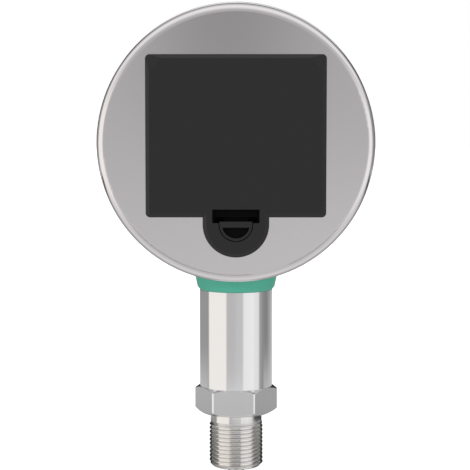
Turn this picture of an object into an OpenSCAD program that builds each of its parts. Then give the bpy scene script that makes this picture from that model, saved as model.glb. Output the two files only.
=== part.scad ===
// Digital pressure gauge with a bottom process connection and a rear battery compartment.
// Z runs up the stem, the display faces -Y and the battery cover faces +Y.
// The origin is the centre of the sealing face at the end of the thread.

/* [Process connection] */
// Outer diameter of the male thread
thread_d = 20; // [18:0.5:22]
// Thread pitch
thread_pitch = 1.5; // [1:0.25:2]
// Length from the sealing face to the hexagon
thread_len = 20.5; // [16:0.5:26]
// Length of the plain neck under the hexagon
undercut_len = 3.2; // [2:0.1:5]
// Diameter of the pilot under the sealing face
pilot_d = 6; // [5:0.5:8]
// Length of the pilot
pilot_len = 4; // [2:0.5:6]
// Bore of the pressure port
port_d = 3; // [1.5:0.5:3.5]
// Width across the flats of the hexagon, and diameter of the stem that is turned from the same bar
hex_af = 27; // [24:0.5:32]
// Height of the hexagon
hex_h = 10; // [7:0.1:14]
// Turn of the hexagon against the display
hex_turn = -4; // [-30:0.5:30]

/* [Stem] */
// Length of the stem between hexagon and collar
stem_len = 36.1; // [31:0.1:50]
// Wall of the stem around the sensor
stem_wall = 3; // [2:0.1:4]
// Step from the stem in to the neck that the head turns on
neck_step = 4; // [3.8:0.1:4.6]
// Wall of the neck around the sensor lead
neck_wall = 3.5; // [2.5:0.1:4.2]

/* [Swivel collar] */
// Height of the collar that shows under the case
collar_show = 4.4; // [4.2:0.05:8]
// How far the collar stands out past the stem where it meets the case
collar_out = 1.7; // [1.4:0.1:3]
// How far the collar stands out past the stem above its lower bevel
collar_mid_out = 0.85; // [0.6:0.05:1.3]
// Wall of the collar's spigot through the case
spigot_wall = 2.5; // [2:0.1:3]
// Turn of the head each way from rest
swivel_half_turn = 165; // [90:1:165]

/* [Case] */
// Width of the case's rear face past the corners of the battery cover
case_land = 4.8; // [4:0.01:14]
// Sheet thickness of the case
case_wall = 1; // [0.8:0.1:1.5]
// Radius of the rounded rear rim
rim_r = 3; // [1.8:0.1:3.2]
// Room between the sensor lead and the battery tray
lead_room = 2.1; // [1.5:0.1:8]
// Gap between the collar and the front flange
front_gap = 1.8; // [1:0.1:6]
// How far the bezel stands out past the case
bezel_out = 2.5; // [2.1:0.1:5]
// Width of the bezel that shows around the panel
bezel_band = 6; // [5:0.5:8]

/* [Batteries] */
// Diameter of a cell
cell_d = 14.2; // [12:0.1:17]
// Length of a cell
cell_len = 50.5; // [42:0.1:60]

/* [Battery cover] */
// Height of the cover's middle above the case's middle
cover_rise = 2.85; // [0:0.05:5]
// How far the cover stands out of the case
cover_proud = 4; // [3.4:0.1:6]
// Wall of the cover
cover_wall = 1.5; // [1.2:0.1:1.8]
// Width of the bevel around the cover
cover_bevel = 1.4; // [1:0.1:2]
// Width of the tongue that carries the latch
tongue_w = 23.8; // [21:0.2:28]
// Reach of the tongue below the cover
tongue_drop = 14.4; // [13.2:0.1:17]

/* [Latch] */
// Width of the finger slot over the latch
slot_w = 16.9; // [15:0.1:20]
// Height of the finger slot
slot_h = 4.4; // [3.7:0.1:5.2]
// Radius of the half-round latch pad
pad_r = 5.9; // [5:0.1:7]
// Travel of the latch
latch_travel = 2.2; // [1.8:0.1:2.6]

/* [Front] */
// Thickness of the front panel
panel_t = 2; // [1.7:0.1:3]
// Width of the display window, as a share of the bezel's opening
window_w_share = 0.66; // [0.5:0.01:0.7]
// Height of the display window, as a share of its width
window_h_share = 0.5; // [0.4:0.01:0.54]
// Height of the window's middle above the case's middle, as a share of the opening's radius
window_rise_share = 0.286; // [0.26:0.002:0.3]
// Diameter of a key cap, as a share of the spacing of the keys
key_d_share = 0.56; // [0.45:0.01:0.64]
// Travel of a key
key_travel = 0.5; // [0.3:0.1:0.6]
// Spacing of the keys, as a share of the opening's radius
key_pitch_share = 0.35; // [0.3:0.01:0.38]
// Depth of the key row below the case's middle, as a share of the opening's radius
key_drop_share = 0.4; // [0.36:0.01:0.44]

/* [Hidden] */
$fn = 64;
// Overrun of every cut past its face
over = 0.5;
// Radial running clearance of the swivel neck
running = 0.05;
// Small clearance between parts that are put together by hand
fit_gap = 0.1;
// Clearance around parts that move past each other
play = 0.3;

// Room for the cells, with the tray's rim and the cover around it, seen from behind in X and Z
cell_count = 4;
cell_side_gap = 0.525;
cell_end_gap = 0.95;
cell_stand = 0.5;
cell_lift = 0.2;
rim_wall = 0.9;
rim_proud = 1;
tray_floor_t = 1.5;
cell_pitch = cell_d + cell_side_gap;
cavity_w = cell_count * cell_pitch;
cavity_h = cell_len + 2 * cell_end_gap;
rim_out_w = cavity_w + 2 * rim_wall;
rim_out_h = cavity_h + 2 * rim_wall;
opening_w = rim_out_w + 2 * fit_gap;
opening_h = rim_out_h + 2 * fit_gap;
cover_w = rim_out_w + 2 * (cover_wall + play + fit_gap);
cover_h = rim_out_h + 2 * (cover_wall + play + fit_gap);
cover_top_z = cover_rise + cover_h / 2;
cover_foot_z = cover_rise - cover_h / 2;

// Case around the cover, and its depth behind the stem's axis
lead_d = 3;
case_r = norm([cover_w / 2, cover_top_z]) + case_land;
case_in_r = case_r - case_wall;
back_y = lead_d / 2 + lead_room + tray_floor_t + cell_lift + cell_d - cell_stand + case_wall;
case_inner_y = back_y - case_wall;

// Stem and the heights up it
stem_d = hex_af;
shoulder_z = thread_len;
hex_top_z = shoulder_z + hex_h;
stem_top_z = hex_top_z + stem_len;
case_z = stem_top_z + collar_show + case_r;

// Thread form
crest_r = thread_d / 2;
thread_depth_share = 0.6134;
undercut_depth_share = 0.27;
end_bevel_share = 1.4;
pilot_bevel_share = 0.08;
thread_depth = thread_depth_share * thread_pitch;
root_r = crest_r - thread_depth;
undercut_r = crest_r - undercut_depth_share * thread_pitch;
end_bevel = end_bevel_share * thread_depth;
pilot_bevel = pilot_bevel_share * pilot_d;
turns = floor((thread_len - undercut_len - end_bevel) / thread_pitch);
crest_share = 1 / 8;
flank_share = 5 / 16;
root_share = 1 / 4;

// Hexagon corners, and its bevels as shares of its inner radius
hex_corner_r = 1.35;
hex_top_bevel_share = 1.005;
hex_foot_bevel_share = 0.95;
hex_bevel_slope = tan(30);

// Sensor chamber inside the stem
chamber_r = stem_d / 2 - stem_wall;
plug_len = 8;
chamber_len_share = 0.77;
capsule_h = 8;
recess_rim = 3.5;
recess_h = 1.5;
recess_r = chamber_r - recess_rim;
membrane_sink = 0.3;
capsule_z = hex_top_z + plug_len;
capsule_top_z = capsule_z + capsule_h;
seal_wire = 1.6;
clamp_ring_h = 4;
clamp_ring_wall = 4.5;
pin_d = 0.6;
pin_circle_share = 0.333;
pin_len = 5.5;
pin_count = 5;
amplifier_gap = 2;
amplifier_r = chamber_r - amplifier_gap;
amplifier_t = 1.2;
amplifier_z = capsule_top_z + pin_len;

// Collar, saddle, washer and nut that carry the head on the neck
neck_r = stem_d / 2 - neck_step;
lead_bore_r = neck_r - neck_wall;
collar_bevel = 1.1;
collar_foot_in = 0.15;
collar_foot_r = stem_d / 2 - collar_foot_in;
collar_mid_r = stem_d / 2 + collar_mid_out;
collar_top_r = stem_d / 2 + collar_out;
spigot_r = neck_r + spigot_wall;
saddle_wall = 4;
saddle_r = spigot_r + saddle_wall;
saddle_rise = 5;
saddle_top_z = case_z - case_in_r + saddle_rise;
washer_t = 1;
washer_step = 1;
nut_h = 4.8;
nut_wall = 3.5;
nut_in_r = neck_r + nut_wall;
nut_z = saddle_top_z + washer_t + fit_gap;
neck_over = 1.2;
neck_top_z = nut_z + nut_h + neck_over;
neck_ring_wire = 1.5;
neck_ring_rise = 5.6;
neck_ring_z = stem_top_z + neck_ring_rise;
stop_d = 1.8;
stop_rise = 1.6;
stop_depth = 3;
stop_out = 1.95;
stop_circle_r = neck_r + running + stop_out;
groove_half_w = stop_d / 2 + play;
groove_depth = stop_rise + play;
stop_pin_angle = 5.5;
stop_land_half = 180 - swivel_half_turn - stop_pin_angle;

// Case and bezel, from the flange to the front
flange_y = -(collar_top_r + front_gap);
flange_t = 1;
bezel_wall = 1;
bezel_r = case_r + bezel_out;
flange_r = bezel_r - bezel_wall - fit_gap;
gasket_t = 1;
gasket_w = 4.9;
panel_front_y = flange_y - flange_t - gasket_t - panel_t;
panel_back_y = panel_front_y + panel_t;
bezel_front_y = panel_front_y - bezel_wall;
bezel_open_r = bezel_r - bezel_band - bezel_wall;
bezel_edge_r = 0.8;
bezel_back_y = flange_y + bezel_wall;

// Battery tray behind the opening
plate_t = 1.8;
cover_face_y = back_y + cover_proud;
cover_under_y = cover_face_y - plate_t;
cell_y = case_inner_y + cell_stand - cell_d / 2;
tray_floor_y = cell_y - cell_d / 2 - cell_lift;
tray_back_y = tray_floor_y - tray_floor_t;
tray_flange_side = 6.5;
tray_flange_end = 3;
tray_flange_w = opening_w + 2 * tray_flange_side;
tray_flange_h = opening_h + 2 * tray_flange_end;
tray_flange_t = 1.6;
tray_corner_r = 8;
stud_d = 2.5;
stud_out = 3.9;
stud_x = opening_w / 2 + stud_out;
stud_rise_share = 0.37;
stud_rise = stud_rise_share * opening_h;
stud_reach = 5;
tray_nut_af = 5;
tray_nut_h = 2;
contact_t = 0.4;
contact_w_share = 0.63;
contact_w = contact_w_share * cell_d;
spring_wire = 0.6;
spring_foot_share = 0.42;
spring_tip_share = 0.2;
nub_d_share = 0.387;
nub_len = 1.2;
ridge_h = 3;
ridge_w = 1.2;
ridge_len_share = 0.7;

// Cover outline, hinge tabs along its top edge, and foam pads on the cells
cover_r = 1.6;
bevel_depth = 1.1;
corner_cut = 4.4;
hinge_lift = 0.15;
hinge_y = back_y + hinge_lift;
hinge_z = case_z + cover_top_z;
tab_x_share = 0.28;
tab_x = tab_x_share * cover_w;
tab_w = 8;
tab_t = 1;
tab_hook = 2.3;
tab_drop = 0.6;
tab_hook_t = 1;
tab_top_drop = 1.1;
tab_reach = norm([hinge_y - case_inner_y + tab_drop + tab_hook_t, tab_top_drop + tab_t]);
tab_pocket = tab_reach - hinge_y + case_inner_y + play;
tab_slot_w = tab_w + 2 * play;
pad_squeeze = 0.3;
pad_place_share = 0.25;
pad_len_share = 0.8;
pad_h_share = 0.16;

// Tongue and latch, in heights above the case's middle
tongue_r = tongue_w / 2;
tongue_mid_z = cover_foot_z - tongue_drop + tongue_r;
slot_inset = 2.9;
slot_top_z = cover_foot_z + slot_inset;
pad_top_z = slot_top_z - slot_h;
pad_sink = 0.4;
pad_lip = 2.1;
pad_mid_z = pad_top_z - pad_lip / 2;
pad_hollow = 1.9;
pad_hollow_share = 0.84;
slot_floor_t = 0.4;
slot_block_y = back_y + rim_proud + running;
slot_block_w = slot_w + 2 * cover_wall;
pad_gap = 0.3;
pad_stand = 0.5;
leg_w = 8;
leg_t = 2;
leg_drop_share = 0.71;
leg_top_z = pad_top_z - leg_drop_share * pad_r;
hook_t = 1.5;
hook_reach = 1.6;
hook_y = case_inner_y - play;
latch_lift = 0.7;
latch_plate_y = back_y + latch_lift;
latch_plate_t = cover_under_y - play / 2 - latch_plate_y;
latch_plate_side = 1.5;
latch_plate_w = 2 * (pad_r + latch_plate_side);
latch_plate_drop = 1.4;
latch_plate_foot = 0.7;
latch_plate_top_z = pad_top_z - latch_plate_drop;
latch_plate_foot_z = leg_top_z - leg_t - latch_plate_foot;
latch_pocket_gap = 0.8;
latch_floor_t = 0.5;
latch_floor_lap = 0.25;
latch_slot_top_z = leg_top_z + latch_travel + play;
latch_slot_foot_z = leg_top_z - leg_t - play;
spring_w = 3;
spring_t = 1.2;

// Display stack behind the panel
window_w = 2 * window_w_share * bezel_open_r;
window_h = window_h_share * window_w;
window_rise = window_rise_share * bezel_open_r;
lens_step = 2;
lens_t = 1.2;
glass_t = 2.2;
light_t = 3;
light_gap = 0.4;
lcd_lap = 2;
lcd_w = window_w + 2 * lcd_lap;
lcd_h = window_h + 2 * lcd_lap;
frame_wall = 1.6;
glass_y = panel_back_y + fit_gap;
light_y = glass_y + glass_t;
board_y = light_y + light_t + light_gap;
strip_w = 1.6;
strip_len_share = 0.8;

// Keys
key_pitch = key_pitch_share * bezel_open_r;
key_drop = key_drop_share * bezel_open_r;
key_d = key_d_share * key_pitch;
key_proud = 1.4;
key_lap = 0.8;
key_flange_d = key_d + 2 * key_lap;
key_flange_t = 0.8;
key_hole_d = key_d + 2 * play;
key_stem_share = 0.38;
key_stem_d = key_stem_share * key_d;
key_xs = [for (i = [0:3]) (i - 3 / 2) * key_pitch];
switch_share = 0.67;
switch_w = switch_share * key_d;
switch_h = board_y - panel_back_y - key_flange_t - key_travel - 2 * play;
plunger_sink = key_travel + play;

// Main board with its bosses, chips and sockets
board_t = 1.6;
board_back_y = board_y + board_t;
board_inset = 4.5;
board_r = case_in_r - board_inset;
board_foot_gap = 4.9;
board_foot_z = neck_top_z - case_z + board_foot_gap;
boss_d = 5.6;
boss_gap = 2;
boss_h = board_y - panel_back_y;
boss_bore_share = 0.8;
screw_reach_share = 0.7;
boss_top_x_share = 0.36;
boss_top_x = boss_top_x_share * board_r;
boss_top_z = window_rise + lcd_h / 2 + frame_wall + fit_gap + boss_gap + boss_d / 2;
boss_side_x = 3 / 2 * key_pitch + key_flange_d / 2 + boss_gap + boss_d / 2;
boss_places = [[-boss_top_x, boss_top_z], [boss_top_x, boss_top_z],
               [-boss_side_x, -key_drop], [boss_side_x, -key_drop]];
board_screw_d = 2.2;
board_screw_head_d = 4;
board_screw_head_h = 1.6;
chip_t = 1.5;
chip_size = 12;
chip_shares = [[-0.3, 0.3, 1, 1], [0.3, 0.4, 0.6, 0.6], [0.35, -0.05, 0.6, 0.35]];
capacitor_d = 6.3;
capacitor_h = 7;
capacitor_shares = [-0.5, -0.25];
socket_h = 6;
socket_w = 8;
socket_d = 6;
socket_rise = 5;
socket_z = board_foot_z + socket_rise;
battery_socket_x = 2 * socket_w;
wire_d = 1.2;
wire_z = socket_z + socket_d / 4;

// Extrudes a shape drawn in X and Z, about the case's middle, from y0 over a depth t
module facing(y0, t) {
    translate([0, y0 + t, case_z]) rotate([90, 0, 0]) linear_extrude(t) children();
}

// Spins a profile drawn in radius and Y about the case's axis
module spun() {
    translate([0, 0, case_z]) rotate([-90, 0, 0]) rotate_extrude() children();
}

// A rectangle with round corners, about its middle
module rounded(w, h, r) {
    square([w - 2 * r, h], center = true);
    square([w, h - 2 * r], center = true);
    for (x = [-1, 1], z = [-1, 1]) translate([x * (w / 2 - r), z * (h / 2 - r)]) circle(r);
}

// A tube or ring about the stem's axis
module ring(r_in, r_out, z0, h) {
    translate([0, 0, z0]) difference() {
        cylinder(r = r_out, h = h);
        translate([0, 0, -over]) cylinder(r = r_in, h = h + 2 * over);
    }
}

// A round wire ring about the stem's axis
module wire_ring(r, wire, z0) {
    translate([0, 0, z0]) rotate_extrude() translate([r, 0]) circle(d = wire);
}

// Cover's face inside its bevel: a rectangle with its two upper corners cut across
module cover_face() {
    w = cover_w / 2 - cover_bevel;
    h = cover_h / 2 - cover_bevel;
    translate([0, cover_rise]) polygon([
        [-w, -h], [w, -h], [w, h - corner_cut], [w - corner_cut, h], [corner_cut - w, h], [-w, h - corner_cut]
    ]);
}

// Tongue outline: a strip that ends in a half circle
module tongue_outline(inset) {
    r = tongue_r - inset;
    translate([0, tongue_mid_z]) circle(r);
    translate([-r, tongue_mid_z]) square([2 * r, cover_foot_z + 2 * slot_inset - tongue_mid_z]);
}

module process_connection() {
    thread_z0 = end_bevel;
    color("#c9c9cb") difference() {
        union() {
            rotate_extrude() polygon(concat(
                [[0, -pilot_len], [pilot_d / 2 - pilot_bevel, -pilot_len],
                 [pilot_d / 2, pilot_bevel - pilot_len], [pilot_d / 2, 0], [crest_r - end_bevel, 0]],
                [for (i = [0:turns - 1]) each [
                    [crest_r, thread_z0 + i * thread_pitch],
                    [crest_r, thread_z0 + (i + crest_share) * thread_pitch],
                    [root_r, thread_z0 + (i + crest_share + flank_share) * thread_pitch],
                    [root_r, thread_z0 + (i + crest_share + flank_share + root_share) * thread_pitch]]],
                [[undercut_r, thread_z0 + turns * thread_pitch], [undercut_r, shoulder_z + hex_h / 2],
                 [0, shoulder_z + hex_h / 2]]
            ));
            intersection() {
                translate([0, 0, shoulder_z]) rotate(hex_turn) linear_extrude(hex_h)
                    offset(hex_corner_r) circle(d = (hex_af - 2 * hex_corner_r) / cos(30), $fn = 6);
                rotate_extrude() polygon([
                    [0, shoulder_z], [hex_foot_bevel_share * hex_af / 2, shoulder_z],
                    [hex_af, shoulder_z + (hex_af - hex_foot_bevel_share * hex_af / 2) * hex_bevel_slope],
                    [hex_af, hex_top_z - (hex_af - hex_top_bevel_share * hex_af / 2) * hex_bevel_slope],
                    [hex_top_bevel_share * hex_af / 2, hex_top_z], [0, hex_top_z]
                ]);
            }
            translate([0, 0, hex_top_z - over]) cylinder(r = chamber_r - running, h = plug_len + over);
        }
        translate([0, 0, -pilot_len - over])
            cylinder(d = port_d, h = pilot_len + hex_top_z + plug_len + 2 * over);
        translate([0, 0, capsule_z - recess_h]) cylinder(r = recess_r, h = recess_h + over);
    }
}

module stem_housing() {
    color("#d2d2d4") difference() {
        union() {
            translate([0, 0, hex_top_z]) cylinder(d = stem_d, h = stem_len);
            translate([0, 0, stem_top_z - over]) cylinder(r = neck_r, h = neck_top_z - stem_top_z + over);
        }
        translate([0, 0, hex_top_z - over]) cylinder(r = chamber_r, h = chamber_len_share * stem_len + over);
        translate([0, 0, hex_top_z]) cylinder(r = lead_bore_r, h = neck_top_z - hex_top_z + over);
        ring(neck_r - neck_ring_wire, neck_r + over, neck_ring_z - neck_ring_wire / 2 - running,
             neck_ring_wire + 2 * running);
        translate([0, -stop_circle_r, stem_top_z - stop_depth]) cylinder(d = stop_d, h = stop_depth + over);
    }
}

module sensor_capsule() {
    color("#b9bbbf") difference() {
        translate([0, 0, capsule_z]) cylinder(r = chamber_r - running, h = capsule_h);
        ring(chamber_r - seal_wire - running, chamber_r, capsule_z + capsule_h / 2 - seal_wire / 2 - running,
             seal_wire + 2 * running);
        translate([0, 0, capsule_z - over]) cylinder(r = recess_r - membrane_sink, h = over + membrane_sink);
    }
}

module sensor_seal() {
    color("#202020") wire_ring(chamber_r - seal_wire / 2 - running, seal_wire, capsule_z + capsule_h / 2);
}

module sensor_clamp_ring() {
    color("#b0b2b6") ring(chamber_r - clamp_ring_wall, chamber_r - running, capsule_top_z, clamp_ring_h);
}

module sensor_pins() {
    color("#d8b25a") for (i = [0:pin_count - 1]) rotate(i * 360 / pin_count)
        translate([pin_circle_share * chamber_r, 0, capsule_top_z]) cylinder(d = pin_d, h = pin_len);
}

module amplifier_board() {
    color("#1f6b3a") translate([0, 0, amplifier_z]) cylinder(r = amplifier_r, h = amplifier_t);
}

module neck_ring() {
    color("#202020") wire_ring(neck_r - neck_ring_wire / 2, neck_ring_wire, neck_ring_z);
}

module stop_pin() {
    color("#a8aab0") translate([0, -stop_circle_r, stem_top_z - stop_depth])
        cylinder(d = stop_d, h = stop_depth + stop_rise);
}

module lock_nut() {
    color("#a8aab0") difference() {
        translate([0, 0, nut_z]) cylinder(r = nut_in_r / cos(30), h = nut_h, $fn = 6);
        translate([0, 0, nut_z - over]) cylinder(r = neck_r, h = nut_h + 2 * over);
    }
}

module swivel_collar() {
    color("#3fae8e") difference() {
        union() {
            intersection() {
                rotate_extrude() polygon([
                    [0, stem_top_z], [collar_foot_r, stem_top_z], [collar_mid_r, stem_top_z + collar_bevel],
                    [collar_top_r, case_z - case_r + collar_bevel / 2],
                    [collar_top_r, case_z - case_r + collar_top_r], [0, case_z - case_r + collar_top_r]
                ]);
                difference() {
                    translate([-case_r, -case_r, stem_top_z]) cube([2 * case_r, 2 * case_r, case_r]);
                    translate([0, -case_r, case_z]) rotate([-90, 0, 0]) cylinder(r = case_r, h = 2 * case_r);
                }
            }
            translate([0, 0, stem_top_z + collar_bevel])
                cylinder(r = spigot_r, h = saddle_top_z - fit_gap - stem_top_z - collar_bevel);
        }
        translate([0, 0, stem_top_z - over])
            cylinder(r = neck_r + running, h = saddle_top_z - stem_top_z + 2 * over);
        difference() {
            ring(stop_circle_r - groove_half_w, stop_circle_r + groove_half_w, stem_top_z - over,
                 groove_depth + over);
            translate([0, 0, stem_top_z - 2 * over]) linear_extrude(groove_depth + 3 * over) polygon([
                [0, 0], [case_r * sin(-stop_land_half), case_r * cos(stop_land_half)],
                [case_r * sin(stop_land_half), case_r * cos(stop_land_half)]
            ]);
        }
    }
}

module saddle_block() {
    color("#2b2c2e") difference() {
        intersection() {
            translate([0, 0, case_z - case_r]) cylinder(r = saddle_r, h = saddle_top_z - case_z + case_r);
            translate([0, -case_r, case_z]) rotate([-90, 0, 0]) cylinder(r = case_in_r, h = 2 * case_r);
        }
        translate([0, 0, case_z - 2 * case_r]) cylinder(r = spigot_r + fit_gap, h = 2 * case_r);
    }
}

module thrust_washer() {
    color("#e6e2d6") ring(neck_r + running, saddle_r - washer_step, saddle_top_z, washer_t);
}

// Sheet shell of the case: back, wall and front flange, before its openings are cut
module case_shell() {
    spun() difference() {
        union() {
            translate([0, flange_y]) square([case_r, back_y - rim_r - flange_y]);
            translate([0, flange_y]) square([case_r - rim_r, back_y - flange_y]);
            translate([case_r - rim_r, back_y - rim_r]) circle(rim_r);
            translate([0, flange_y - flange_t]) square([flange_r, flange_t]);
        }
        translate([-over, flange_y - flange_t - over])
            square([case_in_r + over, case_inner_y - rim_r + case_wall - flange_y + flange_t + over]);
        translate([-over, flange_y]) square([case_r - rim_r + over, case_inner_y - flange_y]);
        translate([case_r - rim_r, back_y - rim_r]) circle(rim_r - case_wall);
    }
}

module rear_case() {
    color("#c4c2c3") union() {
        difference() {
            case_shell();
            facing(case_inner_y - over, case_wall + 2 * over) {
                translate([0, cover_rise]) rounded(opening_w, opening_h, cover_r);
                for (s = [-1, 1]) translate([s * tab_x - tab_slot_w / 2, 0])
                    square([tab_slot_w, cover_top_z - tab_top_drop + play]);
                translate([-leg_w / 2 - play, latch_slot_foot_z])
                    square([leg_w + 2 * play, latch_slot_top_z - latch_slot_foot_z]);
            }
            translate([0, 0, case_z - case_r - over])
                cylinder(r = spigot_r + fit_gap, h = saddle_rise + case_wall + over);
        }
        for (x = [-1, 1], z = [-1, 1])
            facing(case_inner_y - stud_reach, stud_reach + case_wall / 2)
                translate([x * stud_x, cover_rise + z * stud_rise]) circle(d = stud_d);
    }
}

module bezel_ring() {
    color("#cfcfd1") spun() difference() {
        translate([(bezel_open_r + bezel_r) / 2, (bezel_front_y + bezel_back_y) / 2])
            rounded(bezel_r - bezel_open_r, bezel_back_y - bezel_front_y, bezel_edge_r);
        translate([0, panel_front_y]) square([flange_r + fit_gap, flange_y - panel_front_y]);
        translate([0, panel_front_y]) square([case_r + fit_gap, bezel_back_y - panel_front_y + over]);
    }
}

module bezel_gasket() {
    color("#1b1b1b") spun() translate([flange_r - gasket_w, panel_back_y]) square([gasket_w, gasket_t]);
}

module front_panel() {
    color("#25282c") difference() {
        union() {
            spun() translate([0, panel_front_y]) square([flange_r, panel_t]);
            for (p = boss_places) facing(panel_back_y - over, boss_h + over)
                translate(p) circle(d = boss_d);
        }
        facing(panel_front_y - over, panel_t + 2 * over) translate([0, window_rise])
            square([window_w, window_h], center = true);
        facing(panel_front_y - over, lens_t + over) translate([0, window_rise])
            rounded(window_w + 2 * lens_step, window_h + 2 * lens_step, lens_step);
        for (x = key_xs) facing(panel_front_y - over, panel_t + 2 * over)
            translate([x, -key_drop]) circle(d = key_hole_d);
        for (p = boss_places) facing(board_y - boss_bore_share * boss_h, boss_h)
            translate(p) circle(d = board_screw_d);
    }
}

module display_window() {
    color("#9fb4bd") facing(panel_front_y, lens_t) translate([0, window_rise])
        rounded(window_w + 2 * (lens_step - fit_gap), window_h + 2 * (lens_step - fit_gap),
                lens_step - fit_gap);
}

module lcd_glass() {
    color("#a9b7a4") facing(glass_y, glass_t) translate([0, window_rise])
        square([lcd_w, lcd_h], center = true);
}

module backlight_guide() {
    color("#e9edf0") facing(light_y, light_t) translate([0, window_rise])
        square([lcd_w, lcd_h - 4 * strip_w], center = true);
}

module contact_strips() {
    color("#d46a8a") for (s = [-1, 1]) facing(light_y, board_y - light_y)
        translate([0, window_rise + s * (lcd_h / 2 - strip_w)])
            square([strip_len_share * lcd_w, strip_w], center = true);
}

module lcd_frame() {
    color("#17181a") facing(glass_y, board_y - glass_y) translate([0, window_rise]) difference() {
        square([lcd_w + 2 * frame_wall + 2 * fit_gap, lcd_h + 2 * frame_wall + 2 * fit_gap], center = true);
        square([lcd_w + 2 * fit_gap, lcd_h + 2 * fit_gap], center = true);
    }
}

module main_board() {
    color("#1f6b3a") facing(board_y, board_t) difference() {
        circle(board_r);
        translate([-board_r, board_foot_z - board_r]) square([2 * board_r, board_r]);
        for (p = boss_places) translate(p) circle(d = board_screw_d + 2 * fit_gap);
    }
}

module board_chips() {
    color("#1a1a1c") for (c = chip_shares) facing(board_back_y, chip_t)
        translate([c[0] * board_r, c[1] * board_r])
            square([c[2] * chip_size, c[3] * chip_size], center = true);
}

module board_capacitor() {
    color("#3a3f55") facing(board_back_y, capacitor_h) translate(board_r * capacitor_shares)
        circle(d = capacitor_d);
}

module battery_socket() {
    color("#ece7da") facing(board_back_y, socket_h) translate([battery_socket_x, socket_z])
        square([socket_w, socket_d], center = true);
}

module sensor_socket() {
    color("#ece7da") facing(board_back_y, socket_h) translate([0, socket_z])
        square([socket_w, socket_d], center = true);
}

module key_switches() {
    color("#222326") for (x = key_xs) difference() {
        facing(board_y - switch_h, switch_h) translate([x, -key_drop]) square(switch_w, center = true);
        facing(board_y - switch_h - over, plunger_sink + over + play) translate([x, -key_drop])
            circle(d = key_stem_d + 2 * play);
    }
}

module board_screws() {
    color("#a8aab0") for (p = boss_places) {
        facing(board_back_y, board_screw_head_h) translate(p) circle(d = board_screw_head_d);
        facing(board_y - screw_reach_share * boss_h, board_t + screw_reach_share * boss_h)
            translate(p) circle(d = board_screw_d - fit_gap);
    }
}

module sensor_lead() {
    turn_z = case_z + socket_z;
    color("#d9d9d9") union() {
        translate([0, 0, amplifier_z + amplifier_t])
            cylinder(d = lead_d, h = turn_z - amplifier_z - amplifier_t);
        translate([0, 0, turn_z]) sphere(d = lead_d);
        translate([0, board_back_y + socket_h, turn_z]) rotate([-90, 0, 0])
            cylinder(d = lead_d, h = -board_back_y - socket_h);
    }
}

module battery_leads() {
    color("#b3332c") for (s = [-1, 1])
        facing(board_back_y + socket_h, tray_back_y - board_back_y - socket_h)
            translate([battery_socket_x + s * wire_d, wire_z]) circle(d = wire_d);
}

module battery_tray() {
    color("#232426") difference() {
        union() {
            facing(tray_back_y, case_inner_y - tray_back_y) translate([0, cover_rise])
                rounded(rim_out_w, rim_out_h, cover_r);
            facing(case_inner_y - over, case_wall + rim_proud + over) translate([0, cover_rise])
                rounded(rim_out_w, rim_out_h, cover_r);
            facing(case_inner_y - tray_flange_t, tray_flange_t) translate([0, cover_rise])
                rounded(tray_flange_w, tray_flange_h, tray_corner_r);
            // Foot of the tray that the battery leads are soldered to
            facing(tray_back_y, tray_floor_t) translate([battery_socket_x, wire_z])
                square([socket_w, socket_w], center = true);
        }
        difference() {
            facing(tray_floor_y, case_r) translate([0, cover_rise])
                rounded(cavity_w, cavity_h, cover_r / 2);
            // Low ridges between the cells
            for (i = [1:cell_count - 1])
                facing(tray_floor_y - over, ridge_h + over)
                    translate([(i - cell_count / 2) * cell_pitch, cover_rise])
                        square([ridge_w, ridge_len_share * cavity_h], center = true);
        }
        for (s = [-1, 1]) facing(case_inner_y - tab_pocket, case_r)
            translate([s * tab_x - tab_slot_w / 2, cover_rise]) square([tab_slot_w, cover_h]);
        for (x = [-1, 1], z = [-1, 1]) facing(case_inner_y - tray_flange_t - over, tray_flange_t + 2 * over)
            translate([x * stud_x, cover_rise + z * stud_rise]) circle(d = stud_d + 2 * fit_gap);
    }
}

module tray_nuts() {
    color("#a8aab0") for (x = [-1, 1], z = [-1, 1])
        facing(case_inner_y - tray_flange_t - tray_nut_h, tray_nut_h)
            translate([x * stud_x, cover_rise + z * stud_rise]) difference() {
                circle(d = tray_nut_af / cos(30), $fn = 6);
                circle(d = stud_d);
            }
}

// Places a contact at the upper or lower end of each cell; end is 1 where that end is the cell's nub
module at_cell_ends() {
    for (i = [0:cell_count - 1], s = [-1, 1]) {
        $nub_end = (i % 2 == 0) == (s > 0);
        translate([(i - (cell_count - 1) / 2) * cell_pitch, cell_y, case_z + cover_rise + s * cavity_h / 2])
            mirror([0, 0, s > 0 ? 1 : 0]) children();
    }
}

module contact_plates() {
    color("#c2c4c8") at_cell_ends() translate([-contact_w / 2, -contact_w / 2, 0])
        cube([contact_w, contact_w, contact_t]);
}

module contact_springs() {
    color("#c2c4c8") at_cell_ends() if (!$nub_end) translate([0, 0, contact_t]) rotate_extrude() polygon([
        [spring_foot_share * contact_w, 0], [spring_foot_share * contact_w + spring_wire / 2, 0],
        [spring_tip_share * contact_w + spring_wire / 2, cell_end_gap - contact_t - spring_wire / 4],
        [spring_tip_share * contact_w, cell_end_gap - contact_t - spring_wire / 4]
    ]);
}

// One cell; odd and even cells point opposite ways
module battery(i) {
    translate([(i - (cell_count - 1) / 2) * cell_pitch, cell_y, case_z + cover_rise])
        mirror([0, 0, i % 2]) translate([0, 0, -cell_len / 2]) {
            color("#3b4a57") cylinder(d = cell_d, h = cell_len - nub_len);
            color("#d0d2d5") translate([0, 0, cell_len - nub_len])
                cylinder(d = nub_d_share * cell_d, h = nub_len);
        }
}

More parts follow.
